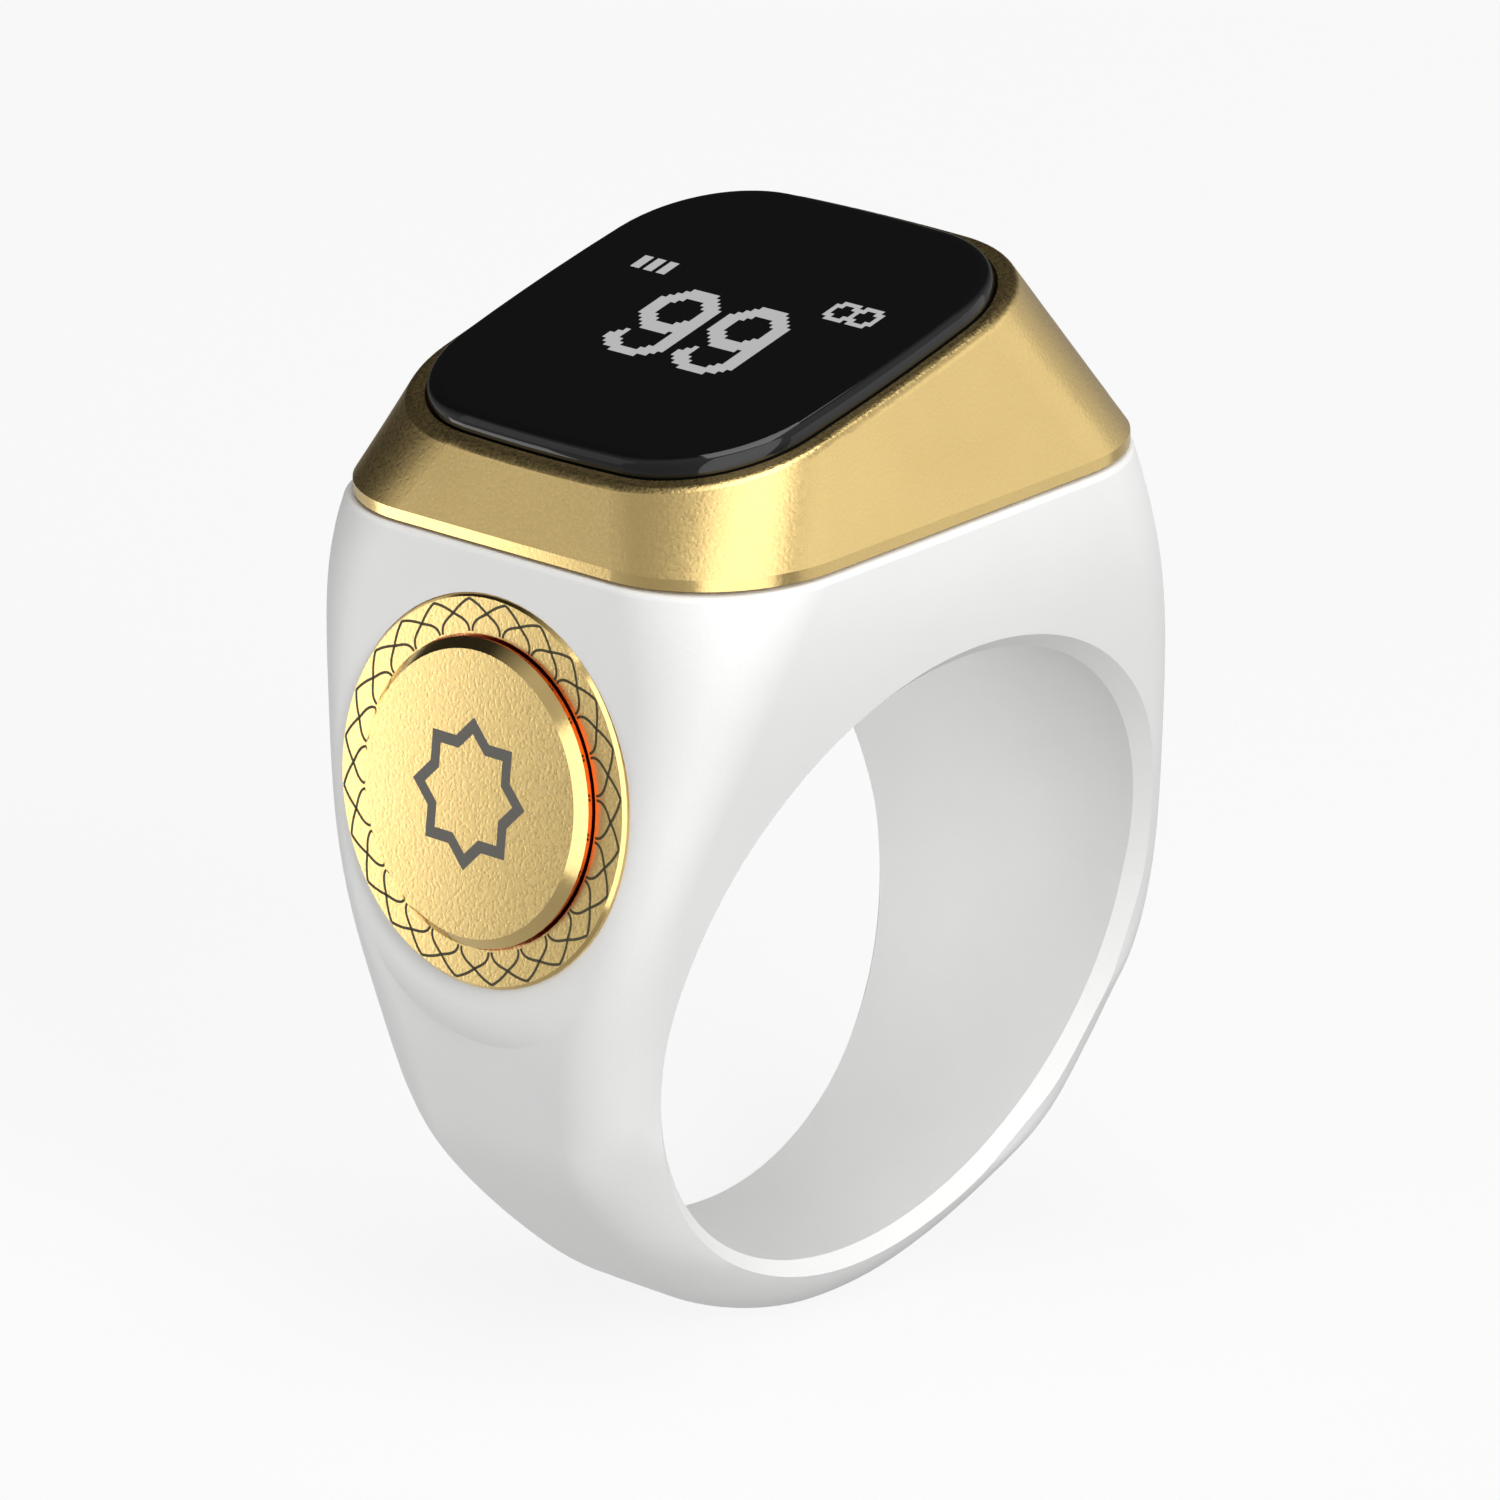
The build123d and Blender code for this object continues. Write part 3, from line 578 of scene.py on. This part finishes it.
class FinishGold(bpy.types.Operator):
    """Gives the bezel, the trim and the button their plated finish."""

    bl_idname = "tasbih.finish_gold"
    bl_label = "Finish gold"

    def execute(self, context):
        shell = context.scene.tasbih_shell
        gold = (shell.gold, shell.gold_shade)
        orange = (shell.groove, shell.groove_painted_bounce_shade)
        plating = {"metallic": 1.0, "grain": shell.gold_grain}
        # Gold plating over blasted brass: satin, with a grain that sparkles a little.
        # The real grain is too fine to show at this size, so it is drawn coarser.
        blasted = grained(
            "blasted_gold_plating", *gold, roughness=0.30, spread=0.05, relief=0.008 * MM, **plating
        )
        # Gold plating over turned and polished brass: a clear mirror on edges and bevels
        polished = grained(
            "polished_gold_plating", *gold, roughness=0.13, spread=0.02, relief=0.0005 * MM, **plating
        )
        # Polished plating in the narrow groove round the button, coloured orange as painted bounce light: a
        # stand-in for the light that reflects between its close walls
        groove = grained(
            "gold_groove_painted_bounce", *orange, roughness=0.16, spread=0.02, relief=0.0005 * MM, **plating
        )
        # Gold plating over finely brushed brass: a soft bright line round the bezel's foot
        brushed = grained(
            "brushed_gold_plating", *gold, roughness=0.22, spread=0.03, relief=0.002 * MM, **plating
        )
        for node in ("button_trim", "count_button"):
            paint_faces(dress(node, blasted, polished, groove), button_finish)
        paint_faces(dress("bezel", blasted, brushed), bezel_finish)
        return {"FINISHED"}


class EngraveBorder(bpy.types.Operator):
    """Draws the petal border on the trim ring and the star on the button."""

    bl_idname = "tasbih.engrave_border"
    bl_label = "Engrave border"

    def execute(self, context):
        border = context.scene.tasbih_border
        # Engraved lines filled with dark enamel: matt, brown grey
        enamel = grained(
            "engraved_dark_enamel",
            border.ink,
            border.ink_shade,
            metallic=0.2,
            roughness=0.6,
            spread=0.08,
            grain=0.1 * MM,
            relief=0.002 * MM,
        )
        flank, foot = [
            interpolate_bezier(*[Vector((*point, 0)) for point in curve], CURVE_POINTS)
            for curve in (PETAL_FLANK, PETAL_FOOT)
        ]
        half_petal = flank + foot[1:]
        pitch = 2 * pi / border.petals
        lines = bmesh.new()
        for petal in range(border.petals):
            for side in (-1, 1):
                points = []
                for share, height, _ in half_petal:
                    angle = pitch * (petal + border.turn + side * share)
                    radius = border.inner + (border.outer - border.inner) * height
                    points.append(Vector((cos(angle), sin(angle), 0)) * radius)
                ribbon(lines, points, border.line)
        plate("petal_border", lines, enamel, trim_seat, "body")

        # Pad printed ink on the blasted face: dull dark grey
        printed_ink = grained(
            "pad_printed_grey",
            border.star_ink,
            border.star_shade,
            metallic=0.0,
            roughness=0.55,
            spread=0.06,
            grain=0.1 * MM,
            relief=0.002 * MM,
        )
        star = bmesh.new()
        half_pitch = pi / STAR_POINTS
        rings = []
        for reach in (border.star_radius, border.star_radius - border.star_band):
            radii = [reach, reach * STAR_HOLLOW] * STAR_POINTS
            spots = [
                (cos(half_pitch * step) * radius, sin(half_pitch * step) * radius, 0)
                for step, radius in enumerate(radii)
            ]
            rings.append([star.verts.new(spot) for spot in spots])
        outer, inner = rings
        for step in range(2 * STAR_POINTS):
            star.faces.new((outer[step - 1], outer[step], inner[step], inner[step - 1]))
        plate("button_star", star, printed_ink, button_seat, "button")
        return {"FINISHED"}


class LightDisplay(bpy.types.Operator):
    """Gives the lens its dark glass and draws the lit marks."""

    bl_idname = "tasbih.light_display"
    bl_label = "Light display"

    def execute(self, context):
        display = context.scene.tasbih_display
        # Smoked glass, polished: nearly black, with a clear gloss on its rounded edge
        glass = grained(
            "smoked_polished_glass",
            display.glass,
            display.glass_shade,
            metallic=0.0,
            roughness=0.06,
            spread=0.01,
            grain=2.0 * MM,
            relief=0.0,
        )
        dress("display_lens", glass)
        # Lit display cells behind the glass: an even cool grey glow with no sheen
        lit, output = start_material("lit_display_cells")
        glow = add_node(
            lit.node_tree,
            "ShaderNodeBsdfPrincipled",
            {
                "Base Color": display.unlit,
                "Roughness": 0.6,
                "Emission Color": display.light,
                "Emission Strength": 1.0,
            },
        )
        lit.node_tree.links.new(glow.outputs["BSDF"], output.inputs["Surface"])
        # Each mark's rows, and its lower left corner in mm from the display's middle
        marks = {
            "level_bars": (LEVEL_BARS, -4.68, 1.62),
            "tens_figure": (FIGURE_NINE, -2.41, -2.56),
            "ones_figure": (FIGURE_NINE, 0.39, -2.56),
            "link_loops": (LINK_LOOPS, 3.13, 1.48),
        }
        for name, (rows, left, low) in marks.items():
            cells = lit_cells(rows, display.cell, left * MM, low * MM)
            plate(name, cells, lit, display_seat, "body")
        return {"FINISHED"}


class FinishInside(bpy.types.Operator):
    """Gives the pieces inside the shell their own finishes."""

    bl_idname = "tasbih.finish_inside"
    bl_label = "Finish inside"

    def execute(self, context):
        # Two colours, metallic, roughness, its spread, grain and relief in mm, and the nodes that wear it
        finishes = {
            # Closed cell foam tape: dull black with small pores
            "black_foam_tape": (
                ("#151515", "#0B0B0B", 0.0, 0.9, 0.06, 0.08, 0.01),
                ("bezel_seal", "lens_adhesive", "battery_tape", "motor_tape"),
            ),
            # Liquid silicone, moulded: dark grey with a soft sheen
            "moulded_silicone": (
                ("#3A3A3A", "#303030", 0.0, 0.55, 0.06, 0.2, 0.003),
                ("button_gasket",),
            ),
            # Clear acrylic adhesive: pale and glossy
            "clear_acrylic_bond": (
                ("#D8D8D8", "#CFCFCF", 0.0, 0.2, 0.03, 0.6, 0.0),
                ("display_bond",),
            ),
            # Display panel's thin glass: black and glossy
            "thin_panel_glass": (
                ("#0D0D0E", "#09090A", 0.0, 0.08, 0.02, 1.0, 0.0),
                ("oled_panel",),
            ),
            # Polyimide film over copper: amber with a smooth sheen
            "amber_polyimide": (
                ("#B7712A", "#A9641F", 0.1, 0.35, 0.05, 0.3, 0.001),
                ("display_flex", "charge_flex", "switch_flex"),
            ),
            # Stamped stainless steel: pale grey with faint rolling grain
            "stamped_stainless": (
                ("#C8C8C6", "#B9B9B8", 1.0, 0.32, 0.06, 0.12, 0.001),
                ("display_carrier", "clock_crystal", "vibration_motor", "switch_dome", "switch_cover"),
            ),
            # Zinc plated screw steel: darker, with a dulled gloss
            "zinc_plated_steel": (
                ("#8E8F92", "#7F8083", 1.0, 0.38, 0.06, 0.1, 0.002),
                ("carrier_screws",),
            ),
            # Glass laminate under solder mask: deep green, half gloss, with a woven ripple
            "green_solder_mask": (
                ("#14552F", "#0F4827", 0.0, 0.4, 0.05, 0.25, 0.003),
                ("main_board", "switch_board"),
            ),
            # Filled epoxy moulding: black, slightly rough
            "black_epoxy_moulding": (
                ("#1B1B1C", "#141415", 0.0, 0.6, 0.06, 0.1, 0.003),
                ("bluetooth_chip", "switch_housing", "switch_plunger"),
            ),
            # Fired ceramic chip: tan, dry and even
            "fired_chip_ceramic": (
                ("#C9B48F", "#B9A37E", 0.0, 0.55, 0.06, 0.08, 0.003),
                ("chip_antenna", "board_capacitors"),
            ),
            # Aluminium laminate pouch: silvery and slightly wrinkled
            "laminated_pouch_foil": (
                ("#C9CACC", "#BBBCBF", 0.85, 0.3, 0.06, 0.7, 0.02),
                ("battery",),
            ),
            # Extruded wire insulation: red, smooth, half gloss
            "red_wire_jacket": (
                ("#A32020", "#8F1818", 0.0, 0.35, 0.04, 0.2, 0.001),
                ("battery_leads", "motor_leads"),
            ),
            # Hard gold over nickel: bright contact faces
            "hard_gold_contact": (
                ("#E3BE62", "#D9B255", 1.0, 0.2, 0.04, 0.15, 0.001),
                ("charge_pins",),
            ),
        }
        for name, (look, nodes) in finishes.items():
            colour, shade, metallic, roughness, spread, grain, relief = look
            finish = grained(
                name,
                linear(colour),
                linear(shade),
                metallic=metallic,
                roughness=roughness,
                spread=spread,
                grain=grain * MM,
                relief=relief * MM,
            )
            for node in nodes:
                dress(node, finish)
        return {"FINISHED"}


class SnapDome(bpy.types.Operator):
    """Stands a copy with its own mesh in for the switch's dome, which snaps flat under the button."""

    bl_idname = "tasbih.snap_dome"
    bl_label = "Snap dome"

    def execute(self, context):
        mesh = frame["nodes"]["switch_dome"].data.copy()
        dome = bpy.data.objects.new("snap_dome", mesh)
        context.scene.collection.objects.link(dome)
        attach(dome, "body")
        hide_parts("switch_dome")
        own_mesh(dome)
        return {"FINISHED"}


def build_floor(scene, stage):
    """Sets an even pale floor under the ring."""
    # Back-lit matt acrylic: an even pale floor that takes only a faint shadow
    acrylic = grained(
        "backlit_matt_acrylic",
        stage.floor,
        stage.floor,
        metallic=0.0,
        roughness=0.9,
        spread=0.05,
        grain=2.0 * MM,
        relief=0.0,
    )
    surface = acrylic.node_tree.nodes["Principled BSDF"]
    surface.inputs["Emission Color"].default_value = stage.floor_light
    surface.inputs["Emission Strength"].default_value = 1.0
    mesh = bpy.data.meshes.new("studio_floor")
    sides = ((-1, -1), (1, -1), (1, 1), (-1, 1))
    corners = [(x * FLOOR_REACH, y * FLOOR_REACH, 0) for x, y in sides]
    mesh.from_pydata(corners, [], [(0, 1, 2, 3)])
    mesh.materials.append(acrylic)
    floor = bpy.data.objects.new("studio_floor", mesh)
    floor.location.z = cad_box[0][2]
    floor.visible_diffuse = False
    floor.visible_glossy = False
    floor.visible_shadow = False
    scene.collection.objects.link(floor)


def build_camera(scene, stage):
    """Sets the camera where the photograph was taken from."""
    azimuth, elevation = stage.azimuth, stage.elevation
    back = Vector((sin(azimuth) * cos(elevation), -cos(azimuth) * cos(elevation), sin(elevation)))
    right = Vector((cos(azimuth), sin(azimuth), 0))
    up = back.cross(right)
    lens = bpy.data.cameras.new("studio_camera")
    lens.lens = stage.focal
    lens.sensor_width = SENSOR_WIDTH
    lens.clip_start = NEAREST_VIEW
    camera = bpy.data.objects.new("studio_camera", lens)
    aim = right * stage.aim[0] + up * stage.aim[1]
    camera.location = back * stage.distance
    camera.rotation_euler = (aim - camera.location).to_track_quat("-Z", "Y").to_euler()
    scene.collection.objects.link(camera)
    scene.camera = camera


def build_lamps(scene, stage):
    """Hangs the softboxes, and the cards that the gold and the glass mirror."""
    center = (Vector(cad_box[0]) + Vector(cad_box[1])) / 2
    # Place and size in metres, brightness, and whether it lights matt surfaces and shows in glossy ones
    lamps = {
        "key_softbox": ((-0.13, -0.44, 0.20), (0.20, 0.30), stage.key_light, True, False),
        "floor_bounce": ((-0.28, 0.22, -0.25), (0.30, 0.30), stage.bounce, True, False),
        "back_softbox": ((0.45, 0.25, 0.0), (0.30, 0.30), stage.back_light, True, False),
        "top_softbox": ((-0.05, -0.05, 0.55), (0.35, 0.35), stage.top_light, True, True),
        "left_card": ((-0.0250, 0.0235, 0.0020), (0.015, 0.022), stage.left_light, False, True),
        "bezel_card": ((-0.037, 0.027, 0.029), (0.022, 0.022), stage.bezel_light, False, True),
        "front_card": ((-0.160, -0.254, 0.05), (0.34, 0.74), stage.front_light, False, True),
        "right_card": ((0.36, -0.39, 0.08), (0.62, 0.60), stage.right_light, False, True),
    }
    for name, (place, size, brightness, matt, glossy) in lamps.items():
        light = bpy.data.lights.new(name, "AREA")
        light.shape = "RECTANGLE"
        light.size, light.size_y = size
        light.energy = brightness * pi * size[0] * size[1]
        lamp = bpy.data.objects.new(name, light)
        lamp.location = place
        lamp.rotation_euler = (center - lamp.location).to_track_quat("-Z", "Y").to_euler()
        lamp.visible_camera = False
        lamp.visible_diffuse = matt
        lamp.visible_glossy = glossy
        scene.collection.objects.link(lamp)


def build_air(scene, stage):
    """Fills the studio with an even light that is weaker on some sides."""
    world = bpy.data.worlds.new("studio_air")
    world.use_nodes = True
    air = world.node_tree
    place = add_node(air, "ShaderNodeTexCoord").outputs["Generated"]
    # Darker parts of the studio: direction, where the shade starts and is full, share of light left there
    shades = (
        ((0.402, 0.649, 0.646), 0.45, 0.75, stage.curtain_air),
        ((-0.97, 0.2, 0.1), 0.5, 0.95, stage.left_air),
        ((0.25, -0.6, -0.76), 0.2, 0.8, stage.low_air),
    )
    strength = stage.air_light
    for direction, begin, full, share in shades:
        facing = add_node(air, "ShaderNodeVectorMath", {0: place, 1: direction}, operation="DOT_PRODUCT")
        limits = {"From Min": begin, "From Max": full, "To Min": 1.0, "To Max": share}
        shade = add_node(air, "ShaderNodeMapRange", {"Value": facing.outputs["Value"], **limits})
        parts = {0: strength, 1: shade.outputs["Result"]}
        strength = add_node(air, "ShaderNodeMath", parts, operation="MULTIPLY").outputs["Value"]
    sky = air.nodes["Background"]
    sky.inputs["Color"].default_value = linear("#FFFFFF")
    air.links.new(strength, sky.inputs["Strength"])
    scene.world = world


class BuildStage(bpy.types.Operator):
    """Sets the floor, the camera and the lights."""

    bl_idname = "tasbih.build_stage"
    bl_label = "Build stage"

    def execute(self, context):
        scene = context.scene
        stage = scene.tasbih_stage
        build_floor(scene, stage)
        build_camera(scene, stage)
        build_lamps(scene, stage)
        build_air(scene, stage)
        scene.view_settings.view_transform = "Standard"
        return {"FINISHED"}


class TasbihPanel(bpy.types.Panel):
    """Lists the steps that dress the ring."""

    bl_idname = "VIEW3D_PT_tasbih"
    bl_label = "Tasbih counter"
    bl_space_type = "VIEW_3D"
    bl_region_type = "UI"
    bl_category = "Tasbih"

    def draw(self, context):
        for step in STEPS:
            self.layout.operator(step.bl_idname)


STEPS = (FinishBody, FinishGold, EngraveBorder, LightDisplay, FinishInside, SnapDome, BuildStage)
GROUPS = {
    "tasbih_shell": ShellSettings,
    "tasbih_border": BorderSettings,
    "tasbih_display": DisplaySettings,
    "tasbih_stage": StageSettings,
}


def register():
    """Registers the settings, the operators and the panel."""
    for group in GROUPS.values():
        bpy.utils.register_class(group)
    for name, group in GROUPS.items():
        setattr(bpy.types.Scene, name, PointerProperty(type=group))
    for step in STEPS:
        bpy.utils.register_class(step)
    bpy.utils.register_class(TasbihPanel)


def unregister():
    """Takes back what register added."""
    bpy.utils.unregister_class(TasbihPanel)
    for step in reversed(STEPS):
        bpy.utils.unregister_class(step)
    for name in GROUPS:
        delattr(bpy.types.Scene, name)
    for group in reversed(list(GROUPS.values())):
        bpy.utils.unregister_class(group)


def main():
    """Registers the add-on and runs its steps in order."""
    register()
    bpy.ops.tasbih.finish_body()
    bpy.ops.tasbih.finish_gold()
    bpy.ops.tasbih.engrave_border()
    bpy.ops.tasbih.light_display()
    bpy.ops.tasbih.finish_inside()
    bpy.ops.tasbih.snap_dome()
    bpy.ops.tasbih.build_stage()


if __name__ == "__main__":
    main()
